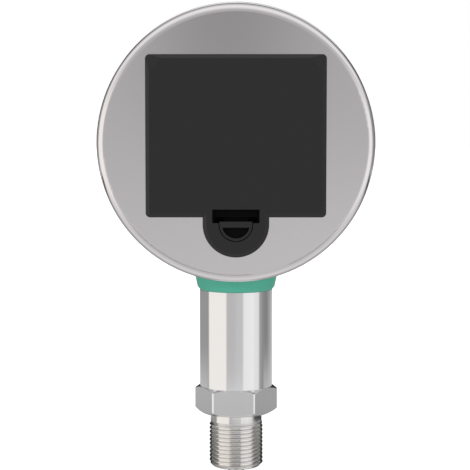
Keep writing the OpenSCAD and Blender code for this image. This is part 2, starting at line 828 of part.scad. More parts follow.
module battery_cover() {
    color("#2f2e2e") difference() {
        union() {
            hull() {
                facing(back_y, cover_proud - bevel_depth) translate([0, cover_rise])
                    rounded(cover_w, cover_h, cover_r);
                facing(back_y, cover_proud) cover_face();
            }
            hull() {
                facing(back_y, cover_proud - bevel_depth) tongue_outline(0);
                facing(back_y, cover_proud) tongue_outline(cover_bevel);
            }
            // Hinge tabs that reach in behind the upper edge of the opening
            for (s = [-1, 1]) translate([s * tab_x - tab_w / 2, 0, hinge_z]) {
                translate([0, case_inner_y - tab_drop - tab_hook_t, -tab_top_drop - tab_t])
                    cube([tab_w, cover_under_y + over - case_inner_y + tab_drop + tab_hook_t, tab_t]);
                translate([0, case_inner_y - tab_drop - tab_hook_t, -tab_top_drop - tab_t])
                    cube([tab_w, tab_hook_t, tab_t + tab_hook]);
            }
        }
        // Hollow under the plate
        difference() {
            facing(back_y - over, cover_under_y - back_y + over) translate([0, cover_rise])
                square([cover_w - 2 * cover_wall, cover_h - 2 * cover_wall], center = true);
            for (s = [-1, 1])
                translate([s * tab_x - tab_w / 2, back_y - over, hinge_z - tab_top_drop - tab_t])
                    cube([tab_w, cover_proud, tab_t]);
            facing(slot_block_y, cover_proud) translate([-slot_block_w / 2, cover_foot_z])
                square([slot_block_w, slot_inset + cover_wall]);
        }
        // Hollow under the tongue for the latch, with a floor under the finger slot
        difference() {
            facing(back_y - over, cover_under_y - back_y + over)
                translate([-latch_plate_w / 2 - play, latch_plate_foot_z - latch_pocket_gap])
                    square([latch_plate_w + 2 * play, cover_foot_z - latch_plate_foot_z + latch_pocket_gap]);
            facing(back_y - 2 * over, latch_floor_t + 2 * over)
                translate([-latch_plate_w, latch_plate_top_z - latch_floor_lap])
                    square([2 * latch_plate_w, cover_foot_z + over - latch_plate_top_z + latch_floor_lap]);
        }
        // Finger slot and the half-round window of the latch pad
        facing(slot_block_y + slot_floor_t, cover_proud)
            translate([-slot_w / 2, pad_top_z - pad_stand]) square([slot_w, slot_h + pad_stand]);
        facing(cover_under_y - over, plate_t + 2 * over) intersection() {
            translate([0, pad_mid_z]) circle(pad_r + pad_gap);
            translate([-case_r, pad_top_z - case_r]) square([2 * case_r, case_r + over]);
        }
    }
}

module cover_seal() {
    seal_y = back_y + rim_proud + running;
    color("#151515") facing(seal_y, cover_under_y - seal_y) translate([0, cover_rise]) difference() {
        rounded(rim_out_w, rim_out_h, cover_r);
        rounded(cavity_w, cavity_h, cover_r / 2);
        for (s = [-1, 1]) translate([s * tab_x - tab_slot_w / 2, 0]) square([tab_slot_w, cover_h]);
        translate([-slot_block_w / 2 - fit_gap, -cover_h]) square([slot_block_w + 2 * fit_gap, cover_h]);
    }
}

module battery_pads() {
    color("#3a3a3a") for (s = [-1, 1])
        facing(cell_y + cell_d / 2 + pad_squeeze, cover_under_y - cell_y - cell_d / 2 - pad_squeeze)
            translate([0, cover_rise + s * pad_place_share * cavity_h])
                square([pad_len_share * cavity_w, pad_h_share * cavity_h], center = true);
}

// Half-round outline of the latch pad, cut straight across at the given height
module half_round(top_z) {
    intersection() {
        translate([0, pad_mid_z]) circle(pad_r);
        translate([-case_r, top_z - case_r]) square([2 * case_r, case_r]);
    }
}

// Half-round latch pad with its sliding plate, down to where the hook is riveted on
module cover_latch() {
    color("#262525") union() {
        facing(latch_plate_y, latch_plate_t) translate([-latch_plate_w / 2, latch_plate_foot_z])
            square([latch_plate_w, latch_plate_top_z - latch_plate_foot_z]);
        facing(latch_plate_y, cover_under_y - latch_plate_y) half_round(latch_plate_top_z);
        difference() {
            facing(cover_under_y, plate_t - pad_sink) half_round(pad_top_z);
            facing(cover_face_y - pad_sink - pad_hollow, pad_hollow + over)
                translate([0, pad_mid_z]) intersection() {
                    circle(pad_hollow_share * pad_r);
                    translate([-pad_r, -pad_r - pad_lip / 2]) square([2 * pad_r, pad_r]);
                }
        }
    }
}

// Spring hook under the case's sheet that holds the cover shut
module latch_hook() {
    color("#9a9ca1") union() {
        translate([-leg_w / 2, hook_y - hook_t, case_z + leg_top_z - leg_t])
            cube([leg_w, latch_plate_y - hook_y + hook_t, leg_t]);
        translate([-leg_w / 2, hook_y - hook_t, case_z + leg_top_z - leg_t - hook_reach])
            cube([leg_w, hook_t, leg_t + hook_reach]);
    }
}

// Leaf that returns the latch, held between the latch and the slot's upper edge
module latch_spring() {
    color("#c2c4c8") for (s = [-1, 1]) facing(latch_plate_y, spring_t)
        translate([s * (latch_plate_w / 2 - spring_w / 2), (latch_plate_top_z + cover_foot_z) / 2])
            square([spring_w, cover_foot_z - latch_plate_top_z - 2 * running], center = true);
}

// A key cap with its flange behind the panel and the plunger that it rests on
module key_cap(i) {
    color("#4a4e54") {
        facing(panel_front_y - key_proud, key_proud + panel_t + fit_gap)
            translate([key_xs[i], -key_drop]) circle(d = key_d);
        facing(panel_back_y + fit_gap, key_flange_t)
            translate([key_xs[i], -key_drop]) circle(d = key_flange_d);
        facing(panel_back_y + fit_gap, board_y - switch_h - panel_back_y - fit_gap + play)
            translate([key_xs[i], -key_drop]) circle(d = key_stem_d);
    }
}

process_connection();
stem_housing();
sensor_capsule();
sensor_seal();
sensor_clamp_ring();
sensor_pins();
amplifier_board();
neck_ring();
stop_pin();
lock_nut();
swivel_collar();
saddle_block();
thrust_washer();
rear_case();
bezel_ring();
bezel_gasket();
front_panel();
display_window();
lcd_glass();
lcd_frame();
backlight_guide();
contact_strips();
main_board();
board_chips();
board_capacitor();
battery_socket();
sensor_socket();
key_switches();
board_screws();
sensor_lead();
battery_leads();
battery_tray();
tray_nuts();
contact_springs();
contact_plates();
battery(0);  // battery_1
battery(1);  // battery_2
battery(2);  // battery_3
battery(3);  // battery_4
battery_cover();
cover_seal();
battery_pads();
cover_latch();
latch_hook();
latch_spring();
key_cap(0);  // power_key
key_cap(1);  // units_key
key_cap(2);  // zero_key
key_cap(3);  // light_key
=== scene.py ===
import math

import bmesh
import bpy
from mathutils import Matrix, Vector


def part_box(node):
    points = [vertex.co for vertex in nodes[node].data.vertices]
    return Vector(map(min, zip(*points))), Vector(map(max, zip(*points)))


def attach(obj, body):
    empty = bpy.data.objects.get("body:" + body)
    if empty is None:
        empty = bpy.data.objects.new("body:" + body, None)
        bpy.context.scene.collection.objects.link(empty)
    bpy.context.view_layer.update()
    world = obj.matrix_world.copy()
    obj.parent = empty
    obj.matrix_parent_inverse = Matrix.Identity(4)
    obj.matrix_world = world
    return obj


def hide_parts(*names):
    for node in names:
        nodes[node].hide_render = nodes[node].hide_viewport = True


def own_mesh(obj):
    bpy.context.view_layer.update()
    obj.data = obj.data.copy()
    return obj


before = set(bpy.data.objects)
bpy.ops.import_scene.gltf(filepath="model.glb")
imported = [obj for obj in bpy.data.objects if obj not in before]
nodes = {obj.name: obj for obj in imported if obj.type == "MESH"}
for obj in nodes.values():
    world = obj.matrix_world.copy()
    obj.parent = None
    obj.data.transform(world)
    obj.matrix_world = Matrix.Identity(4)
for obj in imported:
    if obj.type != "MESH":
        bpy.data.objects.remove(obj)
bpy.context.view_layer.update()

# Process connection: one piece of turned stainless bar with a milled 27 mm hexagon, a right-hand
# M20 x 1.5 thread, a plain neck above it, a bored top for the sensor, and a 6 mm pilot with the
# pressure port in its middle.
MM = 0.001
AROUND = 192
CREST_R = 10.0
PITCH = 1.5
THREAD_DEPTH = 0.6134 * PITCH
CREST_SHARE, FLANK_SHARE = 0.2, 0.5
NECK_UNDER_HEX_R = CREST_R - 0.27 * PITCH
END_BEVEL = 1.4 * THREAD_DEPTH
THREAD_TOP = 17.4
THREAD_ROWS_PER_TURN = 16
SHOULDER_Z = 20.5
HEX_TOP_Z = 30.5
HEX_IN_R = 13.5
HEX_CORNER_R = 1.35
HEX_HIDDEN_R = 9.0
HEX_TURN = math.radians(-4)
CHAMBER_R = 10.45
SPIGOT_TOP_Z = 38.5
SENSOR_SEAT_R, SENSOR_SEAT_Z = 7.0, 37.0
PORT_R, PORT_BEVEL = 1.5, 0.3
PILOT_R, PILOT_END_Z, PILOT_BEVEL, PILOT_ROOT = 3.0, -4.0, 0.48, 0.3
LAP = 0.1


def colour(code):
    """Linear RGBA of an sRGB hex code."""
    parts = [int(code[i:i + 2], 16) / 255 for i in (1, 3, 5)]
    return tuple(p / 12.92 if p <= 0.04045 else ((p + 0.055) / 1.055) ** 2.4 for p in parts) + (1.0,)


def add_node(tree, kind, inputs=(), **settings):
    """Adds one node with its settings. Its inputs are set or linked by name, or in order; a node
    given as an input is linked from its first output."""
    made = tree.nodes.new(kind)
    for name, value in settings.items():
        setattr(made, name, value)
    for key, value in inputs.items() if isinstance(inputs, dict) else enumerate(inputs):
        if isinstance(value, bpy.types.Node):
            value = value.outputs[0]
        if isinstance(value, bpy.types.NodeSocket):
            tree.links.new(value, made.inputs[key])
        else:
            made.inputs[key].default_value = value
    return made


def surface(name, code, rough, metallic=0.0, level=0.5, uneven=0.0, grain=0.0, grain_size=1.0,
            stretch=(1, 1, 1)):
    """A Principled material. Its roughness varies by uneven, and its relief is grain millimetres high,
    both over a grain that is grain_size millimetres wide in Object coordinates."""
    made = bpy.data.materials.new(name)
    made.use_nodes = True
    tree = made.node_tree
    shader = tree.nodes["Principled BSDF"]
    shader.inputs["Base Color"].default_value = colour(code)
    shader.inputs["Metallic"].default_value = metallic
    shader.inputs["Roughness"].default_value = rough
    shader.inputs["Specular IOR Level"].default_value = level
    place = add_node(tree, "ShaderNodeTexCoord")
    spread = add_node(tree, "ShaderNodeMapping", {"Vector": place.outputs["Object"], "Scale": stretch})
    # Most of these finishes have a grain finer than 0.1 mm. It is drawn 0.2 to 1 mm wide, so that it shows.
    noise = add_node(tree, "ShaderNodeTexNoise", {
        "Vector": spread, "Scale": 1 / (grain_size * MM), "Detail": 3.0})
    if uneven:
        varied = add_node(tree, "ShaderNodeMapRange", {
            "Value": noise, "To Min": rough - uneven, "To Max": rough + uneven})
        tree.links.new(varied.outputs[0], shader.inputs["Roughness"])
    if grain:
        relief = add_node(tree, "ShaderNodeBump", {"Height": noise, "Distance": grain * MM, "Strength": 1.0})
        tree.links.new(relief.outputs[0], shader.inputs["Normal"])
    return made


def piece(name, points, faces, materials, smooth=35.0):
    """A mesh object of points in millimetres, with its doubles joined and its faces turned outward."""
    mesh = bpy.data.meshes.new(name)
    mesh.from_pydata([Vector(p) * MM for p in points], [], faces)
    work = bmesh.new()
    work.from_mesh(mesh)
    bmesh.ops.remove_doubles(work, verts=work.verts, dist=1e-6)
    bmesh.ops.dissolve_degenerate(work, edges=work.edges, dist=1e-6)
    bmesh.ops.recalc_face_normals(work, faces=work.faces)
    work.to_mesh(mesh)
    work.free()
    mesh.polygons.foreach_set("use_smooth", [True] * len(mesh.polygons))
    mesh.set_sharp_from_angle(angle=math.radians(smooth))
    for material in materials:
        mesh.materials.append(material)
    made = bpy.data.objects.new(name, mesh)
    bpy.context.scene.collection.objects.link(made)
    return made


def strips(rows, closed):
    """Points and faces that join rows of points round an axis; closed joins the last row to the first."""
    points = [p for row in rows for p in row]
    n = len(rows[0])
    faces = []
    for k in range(len(rows) if closed else len(rows) - 1):
        a, b = k * n, (k + 1) % len(rows) * n
        faces += [(a + i, a + (i + 1) % n, b + (i + 1) % n, b + i) for i in range(n)]
    return points, faces


def lathe_rows(profile, count=AROUND):
    """Rows of points for a profile of (radius, height) about the stem's axis."""
    return [[(r * math.cos(2 * math.pi * i / count), r * math.sin(2 * math.pi * i / count), z)
             for i in range(count)] for r, z in profile]


def together(*shells):
    """Points and faces of several shells as one."""
    points, faces = [], []
    for more_points, more_faces in shells:
        faces += [tuple(i + len(points) for i in face) for face in more_faces]
        points += more_points
    return points, faces


def baked(made, rule):
    """Runs a Geometry Nodes rule on an object and leaves its result as a plain mesh."""
    made.modifiers.new("Rule", "NODES").node_group = rule
    graph = bpy.context.evaluated_depsgraph_get()
    mesh = bpy.data.meshes.new_from_object(made.evaluated_get(graph))
    made.modifiers.clear()
    made.data = mesh
    return made


def new_rule(name, sizes):
    """A Geometry Nodes group with named size inputs; returns it and its input sockets."""
    rule = bpy.data.node_groups.new(name, "GeometryNodeTree")
    rule.interface.new_socket("Geometry", in_out="INPUT", socket_type="NodeSocketGeometry")
    for key, value in sizes.items():
        socket = rule.interface.new_socket(key, in_out="INPUT", socket_type="NodeSocketFloat")
        socket.default_value = value
    rule.interface.new_socket("Geometry", in_out="OUTPUT", socket_type="NodeSocketGeometry")
    return rule, rule.nodes.new("NodeGroupInput").outputs


def end_rule(rule, shape, material):
    """Ends a rule: its copies are made real, their doubles joined, and given their material."""
    real = add_node(rule, "GeometryNodeRealizeInstances", [shape])
    joined = add_node(rule, "GeometryNodeMergeByDistance", {"Geometry": real, "Distance": 0.001})
    finished = add_node(rule, "GeometryNodeSetMaterial", {"Geometry": joined, "Material": material})
    add_node(rule, "NodeGroupOutput", [finished])
    return rule


def thread_rule(material):
    """Flanks of a right-hand thread: a grid whose rows climb with the helix. It is cut square and
    bevelled at its foot, and its last turn runs out into the neck."""
    rule, size = new_rule("thread rule", {
        "Crest radius": CREST_R, "Pitch": PITCH, "Depth": THREAD_DEPTH,
        "Length": THREAD_TOP, "End bevel": END_BEVEL, "Neck radius": NECK_UNDER_HEX_R})
    steps = dict(size.items())
    rows = (math.ceil(THREAD_TOP / PITCH) + 1) * THREAD_ROWS_PER_TURN
    grid = add_node(rule, "GeometryNodeMeshGrid", {
        "Size X": 1.0, "Size Y": 1.0, "Vertices X": AROUND + 1, "Vertices Y": rows + 1})
    position = add_node(rule, "GeometryNodeInputPosition")
    steps["across"], steps["up"], _ = add_node(rule, "ShaderNodeSeparateXYZ", [position]).outputs
    for name, operation, *values in (
            # Where a point of the grid is on the helix
            ("turn", "ADD", "across", 0.5),
            ("angle", "MULTIPLY", "turn", 2 * math.pi),
            ("rows up", "ADD", "up", 0.5),
            ("lift", "MULTIPLY", "rows up", rows / THREAD_ROWS_PER_TURN),
            ("lift and turn", "ADD", "lift", "turn"),
            ("turns up", "SUBTRACT", "lift and turn", 1.0),
            ("climb", "MULTIPLY", "turns up", "Pitch"),
            ("not below", "MAXIMUM", "climb", 0.0),
            ("height", "MINIMUM", "not below", "Length"),
            # How deep the groove is there
            ("pitches up", "DIVIDE", "height", "Pitch"),
            ("past turn", "SUBTRACT", "pitches up", "turn"),
            ("above zero", "ADD", "past turn", 4.00001),  # whole turns, and a hair against rounding
            ("phase", "FRACT", "above zero"),
            ("from middle", "SUBTRACT", "phase", 0.5),
            ("to either side", "ABSOLUTE", "from middle"),
            ("off crest", "MULTIPLY", "to either side", 2.0),
            ("off flat", "SUBTRACT", "off crest", CREST_SHARE),
            ("flank", "DIVIDE", "off flat", FLANK_SHARE),
            ("cut", "MULTIPLY", "flank", "Depth"),
            ("cut radius", "SUBTRACT", "Crest radius", "cut"),
            # The run-out into the neck, and the bevel at the foot
            ("last turn", "SUBTRACT", "Length", "Pitch"),
            ("in last turn", "SUBTRACT", "height", "last turn"),
            ("run out", "DIVIDE", "in last turn", "Pitch"),
            ("to neck", "SUBTRACT", "Neck radius", "cut radius"),
            ("share to neck", "MULTIPLY", "to neck", "run out"),
            ("run out radius", "ADD", "cut radius", "share to neck"),
            ("foot radius", "SUBTRACT", "Crest radius", "End bevel"),
            ("bevel", "ADD", "foot radius", "height"),
            ("radius", "MINIMUM", "run out radius", "bevel"),
            # Back to X and Y
            ("cosine", "COSINE", "angle"),
            ("sine", "SINE", "angle"),
            ("x", "MULTIPLY", "radius", "cosine"),
            ("y", "MULTIPLY", "radius", "sine")):
        steps[name] = add_node(rule, "ShaderNodeMath", [steps.get(value, value) for value in values],
                               operation=operation, use_clamp=name in ("flank", "run out"))
    where = add_node(rule, "ShaderNodeCombineXYZ", [steps["x"], steps["y"], steps["height"]])
    moved = add_node(rule, "GeometryNodeSetPosition", {"Geometry": grid, "Position": where})
    return end_rule(rule, moved, material)


def hexagon_rows():
    """Rows of points of the hexagon, from its bore over the underside, flats and top; its corners
    are rounded, and both its ends have the 30 degree bevel of a turned and milled hexagon."""
    count = 720
    slope = math.tan(math.radians(30))
    foot_r, top_r, round_off = 0.95 * HEX_IN_R, 1.005 * HEX_IN_R, 0.12
    corner_mid = (HEX_IN_R - HEX_CORNER_R) / math.cos(math.pi / 6)
    corner_edge = math.atan2(HEX_CORNER_R * math.sin(math.pi / 6),
                             corner_mid + HEX_CORNER_R * math.cos(math.pi / 6))
    rows = [[] for _ in range(8)]
    for i in range(count):
        angle = 2 * math.pi * i / count
        off_corner = math.pi / 6 - abs((angle - HEX_TURN) % (math.pi / 3) - math.pi / 6)
        if off_corner > corner_edge:
            out = HEX_IN_R / math.cos(math.pi / 6 - off_corner)
        else:
            aside = corner_mid * math.sin(off_corner)
            out = corner_mid * math.cos(off_corner) + math.sqrt(HEX_CORNER_R ** 2 - aside ** 2)
        foot = SHOULDER_Z + max(0.0, out - foot_r) * slope
        top = HEX_TOP_Z - max(0.0, out - top_r) * slope
        outline = [(HEX_HIDDEN_R, SHOULDER_Z), (foot_r, SHOULDER_Z),
                   (out - round_off, foot - round_off * slope), (out, foot + round_off),
                   (out, top - round_off), (out - round_off, top),
                   (min(out - 2 * round_off, top_r), HEX_TOP_Z), (HEX_HIDDEN_R, HEX_TOP_Z)]
        for row, (r, z) in zip(rows, outline):
            row.append((r * math.cos(angle), r * math.sin(angle), z))
    return rows


# Turned stainless steel: bright, with fine tool rings that spread each reflection up and down. The
# rings are about 0.1 mm apart on the real one and drawn 0.2 mm apart, so that they show.
turned_steel = surface("turned stainless steel", "#ebe9e7", 0.12, metallic=1.0, uneven=0.04, grain_size=0.6,
                       stretch=(0.15, 0.15, 3.0))
# Milled stainless steel: duller and paler than the turned faces, with a fine even grain
milled_steel = surface("milled stainless steel", "#f0eff0", 0.19, metallic=1.0, uneven=0.015, grain_size=0.5)
thread = baked(piece("process_connection_threaded", [(0, 0, 0)], [], []), thread_rule(turned_steel))
flanks = [tuple(v.co) for v in thread.data.vertices], [tuple(p.vertices) for p in thread.data.polygons]
bpy.data.objects.remove(thread)
core = strips(lathe_rows([
    (NECK_UNDER_HEX_R, THREAD_TOP), (NECK_UNDER_HEX_R, SHOULDER_Z + LAP), (NECK_UNDER_HEX_R, HEX_TOP_Z - LAP),
    (CHAMBER_R, HEX_TOP_Z + LAP / 2), (CHAMBER_R, SPIGOT_TOP_Z), (SENSOR_SEAT_R, SPIGOT_TOP_Z),
    (SENSOR_SEAT_R, SENSOR_SEAT_Z), (PORT_R, SENSOR_SEAT_Z), (PORT_R, PILOT_END_Z + PORT_BEVEL),
    (PORT_R + PORT_BEVEL, PILOT_END_Z), (PILOT_R - PILOT_BEVEL, PILOT_END_Z),
    (PILOT_R, PILOT_END_Z + PILOT_BEVEL), (PILOT_R, -PILOT_ROOT / 2), (PILOT_R + PILOT_ROOT, 0.0),
    (CREST_R - END_BEVEL, 0.0)]), False)
connection = piece("process_connection_threaded", *together(flanks, core, strips(hexagon_rows(), True)),
                   [turned_steel, milled_steel], smooth=32)
for face in connection.data.polygons:
    if face.center.z > SHOULDER_Z * MM and math.hypot(face.center.x, face.center.y) > CHAMBER_R * MM:
        face.material_index = 1
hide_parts("process_connection")
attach(connection, "stem")


def dress(node, material):
    """Gives a node of the fixed frame its material, as the one slot of its mesh."""
    nodes[node].data.materials.clear()
    nodes[node].data.materials.append(material)


# Nitrile rubber, moulded: deep black and dull, with the fine bloom of its mould
black_rubber = surface("nitrile rubber", "#1b1b1b", 0.6, level=0.35, grain=0.01, grain_size=0.4)
# Gold plated pin: warm and bright
gold = surface("gold plated pin", "#e0b860", 0.25, metallic=1.0, uneven=0.03, grain_size=0.5)
# Solder mask on glass fibre: glossy green lacquer over the faint weave of the board
solder_mask = surface("green solder mask on glass fibre", "#1d5e35", 0.35, grain=0.004, grain_size=0.8)
dress("sensor_capsule", turned_steel)
dress("sensor_seal", black_rubber)
dress("sensor_clamp_ring", turned_steel)
dress("sensor_pins", gold)
dress("amplifier_board", solder_mask)

# Stem: a polished stainless tube, pressed on the process connection, whose neck carries the head.
# Its rubber ring, stop pin and lock nut are plain bought parts.

# Polished stainless steel: near to a mirror, with the faint rings of its polishing belt. They are
# finer than 0.1 mm on the real one and drawn 0.4 mm apart.
polished_steel = surface("polished stainless steel", "#ecebec", 0.085, metallic=1.0, uneven=0.015,
                         grain_size=0.8, stretch=(0.2, 0.2, 2.0))
# Zinc plated steel: silver grey, a little cloudy
plated_steel = surface("zinc plated steel", "#c9cacf", 0.3, metallic=1.0, uneven=0.05, grain_size=0.5)
dress("stem_housing", polished_steel)
dress("neck_ring", black_rubber)
dress("stop_pin", plated_steel)
dress("lock_nut", plated_steel)

# Swivel collar: teal moulded plastic between the stem and the case, with the saddle block and
# the acetal washer that clamp the case sheet on the other side.

# Teal ABS, moulded: half gloss, with the very fine erosion texture of its mould
teal_plastic = surface("teal moulded plastic", "#51b69b", 0.38, level=0.4, uneven=0.03, grain=0.006,
                       grain_size=0.5)
# Black ABS, moulded without a finish: dull and even
black_moulding = surface("black moulded plastic", "#232323", 0.5, level=0.35, grain=0.01, grain_size=0.35)
# Acetal: waxy off-white
acetal = surface("natural acetal", "#e4dfd2", 0.4, uneven=0.03, grain_size=0.6)
dress("swivel_collar", teal_plastic)
dress("saddle_block", black_moulding)
dress("thrust_washer", acetal)

# Rear case: stainless sheet, deep drawn with a rounded rear rim and a flange, and finished satin.
# Four weld studs inside carry the battery tray.

# Satin stainless sheet: reflections stay whole and their edges go soft. Its grain is finer than
# 0.1 mm on the real one and drawn 0.5 mm wide.
satin_steel = surface("satin stainless sheet", "#eeeaec", 0.15, metallic=1.0, uneven=0.02, grain_size=0.5)
dress("rear_case", satin_steel)

# Bezel: polished stainless ring, spun from sheet and rolled over the case's flange. Its moulded
# rubber gasket seals the front panel to the case.
dress("bezel_ring", polished_steel)
dress("bezel_gasket", black_rubber)

# Front panel: moulded black plastic under a glued matt film, with four screw bosses behind. The
# clear window is cut from acrylic sheet and glued in.

# Matt film: blue-black, with the fine tooth of a printed keypad film
panel_film = surface("matt film on moulded plastic", "#22252a", 0.45, level=0.4, grain=0.004, grain_size=0.3)
# Clear acrylic: colourless and glossy, with the light bending of acrylic
clear_plastic = surface("clear acrylic", "#f4f8f8", 0.03)
clear_plastic.node_tree.nodes["Principled BSDF"].inputs["Transmission Weight"].default_value = 1.0
clear_plastic.node_tree.nodes["Principled BSDF"].inputs["IOR"].default_value = 1.49
dress("front_panel", panel_film)
dress("display_window", clear_plastic)

# Display: liquid crystal glass in a plastic frame over a light guide, on rubber contact strips.
# Its dark segments show a generic reading over a scale of marks.

# Liquid crystal glass: the grey-green of an unlit display, with a soft polariser film
lcd_glass = surface("liquid crystal glass", "#a4b39b", 0.25, uneven=0.02, grain_size=2.0)
# Frosted acrylic: cloudy white
light_guide = surface("frosted acrylic light guide", "#e6edf0", 0.5, uneven=0.03, grain_size=0.5)
# Silicone contact strip: dull pink rubber with a fine layering
strip_rubber = surface("silicone contact strip", "#c98a98", 0.6, grain=0.01, grain_size=0.2)
# Dark segment: nearly black, with a trace of the glass's green
segment_ink = surface("dark liquid crystal segment", "#1c211d", 0.3, uneven=0.02, grain_size=1.0)
dress("lcd_glass", lcd_glass)
dress("lcd_frame", black_moulding)
dress("backlight_guide", light_guide)
dress("contact_strips", strip_rubber)
glass_low, glass_high = (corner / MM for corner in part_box("lcd_glass"))
DIGIT_COUNT, DIGIT_H, DIGIT_W, DIGIT_PITCH, DIGIT_RISE = 4, 15.0, 8.2, 12.2, 2.5
SEGMENT_W, SEGMENT_T, SEGMENT_GAP = 2.1, 0.04, 0.5
MARK_COUNT, MARK_H, MARK_W, MARK_PITCH, MARK_DROP = 21, 1.6, 1.1, 2.3, 10.6


def by_rule(name, spots, rule, smooth=35.0):
    """A piece that a Geometry Nodes rule makes at each spot, which is a point in millimetres and a turn."""
    seed = bpy.data.meshes.new(name)
    seed.from_pydata([spot for spot, _ in spots], [], [])
    turns = seed.attributes.new("turn", "FLOAT_VECTOR", "POINT")
    turns.data.foreach_set("vector", [angle for _, turn in spots for angle in turn])
    made = bpy.data.objects.new(name, seed)
    bpy.context.scene.collection.objects.link(made)
    mesh = baked(made, rule).data
    mesh.transform(Matrix.Scale(MM, 4))
    mesh.polygons.foreach_set("use_smooth", [True] * len(mesh.polygons))
    mesh.set_sharp_from_angle(angle=math.radians(smooth))
    return made


def set_on_spots(rule, shape):
    """A copy of a shape on each point of the rule's input, turned by the point's own turn."""
    turn = add_node(rule, "GeometryNodeInputNamedAttribute", {"Name": "turn"}, data_type="FLOAT_VECTOR")
    return add_node(rule, "GeometryNodeInstanceOnPoints", {
        "Points": rule.nodes["Group Input"].outputs["Geometry"], "Instance": shape, "Rotation": turn})


def segment_rule(length, width):
    """A thin bar with pointed ends at each spot."""
    rule, size = new_rule("segment rule", {"Length": length, "Width": width, "Thickness": SEGMENT_T})
    face = add_node(rule, "GeometryNodeMeshCircle", {"Vertices": 6, "Radius": 0.5}, fill_type="NGON")
    raised = add_node(rule, "GeometryNodeExtrudeMesh", {"Mesh": face, "Offset Scale": size["Thickness"]})
    back = add_node(rule, "GeometryNodeFlipFaces", [face])
    whole = add_node(rule, "GeometryNodeJoinGeometry")
    for part in (back, raised):
        rule.links.new(part.outputs[0], whole.inputs[0])
    shape = add_node(rule, "ShaderNodeCombineXYZ", [size["Length"], size["Width"], 1.0])
    sized = add_node(rule, "GeometryNodeTransform", {"Geometry": whole, "Scale": shape})
    return end_rule(rule, set_on_spots(rule, sized), segment_ink)


LEVEL_TURN, UPRIGHT_TURN = (math.pi / 2, 0.0, 0.0), (math.pi / 2, math.pi / 2, 0.0)
display_mid = (glass_low + glass_high) / 2
digit_z = display_mid.z + DIGIT_RISE
digit_spots = []
for number in range(DIGIT_COUNT):
    x = display_mid.x + (number - (DIGIT_COUNT - 1) / 2) * DIGIT_PITCH
    for up in (-1, 1):
        digit_spots.append(((x, glass_low.y, digit_z + up * DIGIT_H / 2), LEVEL_TURN))
        for side_x in (x - DIGIT_W / 2, x + DIGIT_W / 2):
            digit_spots.append(((side_x, glass_low.y, digit_z + up * DIGIT_H / 4), UPRIGHT_TURN))
mark_spots = [((display_mid.x - DIGIT_PITCH, glass_low.y, digit_z - DIGIT_H / 2), LEVEL_TURN)]
for number in range(MARK_COUNT):
    x = display_mid.x + (number - (MARK_COUNT - 1) / 2) * MARK_PITCH
    mark_spots.append(((x, glass_low.y, display_mid.z - MARK_DROP), UPRIGHT_TURN))
digits = by_rule("lcd_digits", digit_spots, segment_rule(DIGIT_H / 2 - SEGMENT_GAP, SEGMENT_W), smooth=20)
marks = by_rule("lcd_marks", mark_spots, segment_rule(MARK_H, MARK_W), smooth=20)
for made in (digits, marks):
    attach(made, "head")

# Main board: glass fibre board with its soldered chips, capacitor, sockets and key switches. Four
# plated screws hold it to the front panel's bosses.

# Chip epoxy, moulded: black with a dull bloom
chip_epoxy = surface("moulded epoxy", "#1d1d1f", 0.5, grain=0.006, grain_size=0.2)
# Shrunk sleeve of a capacitor's can: glossy dark blue
can_sleeve = surface("sleeved aluminium can", "#343b57", 0.3, uneven=0.03, grain_size=0.5)
# Nylon: milky white
nylon = surface("natural nylon", "#e6dfcc", 0.45, uneven=0.03, grain_size=0.5)
dress("main_board", solder_mask)
dress("board_chips", chip_epoxy)
dress("board_capacitor", can_sleeve)
dress("battery_socket", nylon)
dress("sensor_socket", nylon)
dress("key_switches", chip_epoxy)
dress("board_screws", plated_steel)

# Leads: a grey jacketed lead from the sensor to its socket on the main board, and a red pair of
# wires from the battery tray.

# Grey PVC: soft half gloss with the slight waviness of a drawn jacket
lead_jacket = surface("grey PVC jacket", "#c6c6c6", 0.5, grain=0.006, grain_size=0.3)
# Red PVC insulation: the same, a little glossier
wire_jacket = surface("red PVC insulation", "#b12d25", 0.45, grain=0.004, grain_size=0.3)
dress("sensor_lead", lead_jacket)
dress("battery_leads", wire_jacket)

# Battery tray: black moulding on the case's studs, held by plated nuts. Nickel plated plates and
# conical coil springs at its ends touch the cells.

# Nickel plated spring steel: warm silver, bright and slightly uneven
spring_steel = surface("nickel plated spring steel", "#d2d2d5", 0.22, metallic=1.0, uneven=0.03,
                       grain_size=0.4)
dress("battery_tray", black_moulding)
dress("tray_nuts", plated_steel)
dress("contact_plates", spring_steel)
CELL_COUNT, CELL_PITCH, CELL_Y, CELL_MID_Z = 4, 14.725, 12.4, 123.98
CAVITY_HALF = 26.2
PLATE_T = 0.62
COIL_WIRE_D, COIL_FOOT_R, COIL_TIP_R, COIL_H, COIL_TURNS = 0.4, 3.76, 1.79, 0.12, 2.5


def coil_rule():
    """A conical coil of round wire at each spot, with its foot on it."""
    rule, size = new_rule("coil rule", {
        "Wire": COIL_WIRE_D, "Foot radius": COIL_FOOT_R, "Tip radius": COIL_TIP_R, "Height": COIL_H,
        "Turns": COIL_TURNS})
    spiral = add_node(rule, "GeometryNodeCurveSpiral", {
        "Resolution": 48, "Rotations": size["Turns"], "Start Radius": size["Foot radius"],
        "End Radius": size["Tip radius"], "Height": size["Height"]})
    wire_r = add_node(rule, "ShaderNodeMath", [size["Wire"], 0.5], operation="MULTIPLY")
    section = add_node(rule, "GeometryNodeCurvePrimitiveCircle", {
        "Resolution": 10, "Radius": wire_r}, mode="RADIUS")
    wire = add_node(rule, "GeometryNodeCurveToMesh", {
        "Curve": spiral, "Profile Curve": section, "Fill Caps": True})
    return end_rule(rule, set_on_spots(rule, wire), spring_steel)


